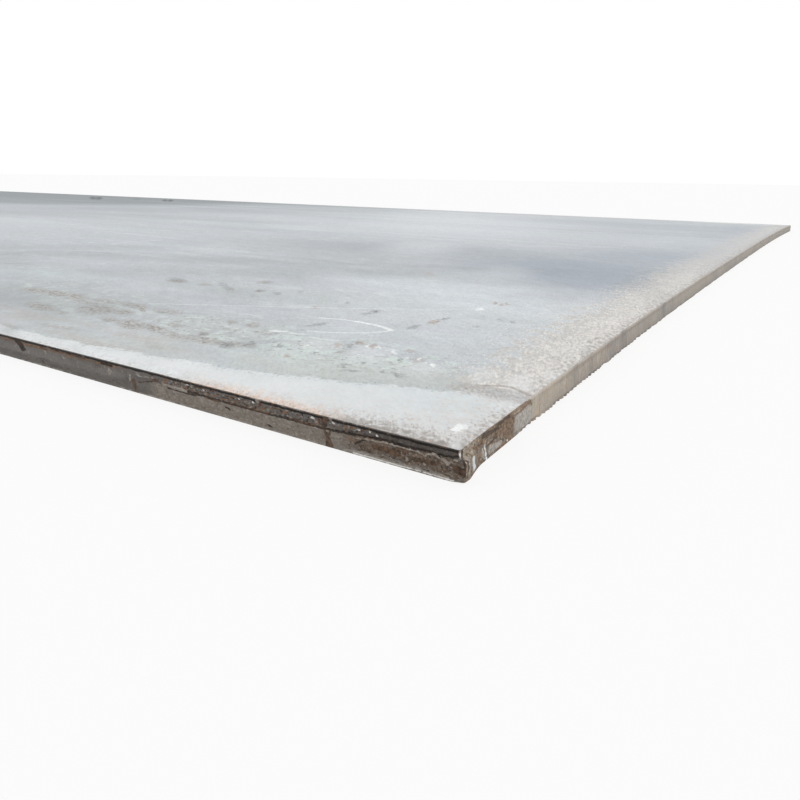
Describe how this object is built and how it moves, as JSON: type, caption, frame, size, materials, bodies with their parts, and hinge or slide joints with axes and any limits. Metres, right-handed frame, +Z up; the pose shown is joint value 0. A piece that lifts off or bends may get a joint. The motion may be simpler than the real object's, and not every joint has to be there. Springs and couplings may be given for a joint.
{
  "type": "steel plate",
  "caption": "Flat rectangular hot-rolled steel plate with sheared long edges and flame-cut ends, lying flat, with mill scale and rust on its edges.",
  "frame": {"origin": "under the middle of the plate, on the face it lies on", "axes": "+X along the rolling direction, the plate's length; +Y across its width; +Z up through its thickness"},
  "size_m": [6, 2, 0.016],
  "materials": {
    "mill_scale_steel": "blue-grey mill scale as rolled, with pale bands, a whitish crust by the flame-cut end, and dark, rust-streaked sheared edges"
  },
  "bodies": {
    "root": {"steel_plate": "mill_scale_steel"}
  },
  "joints": []
}
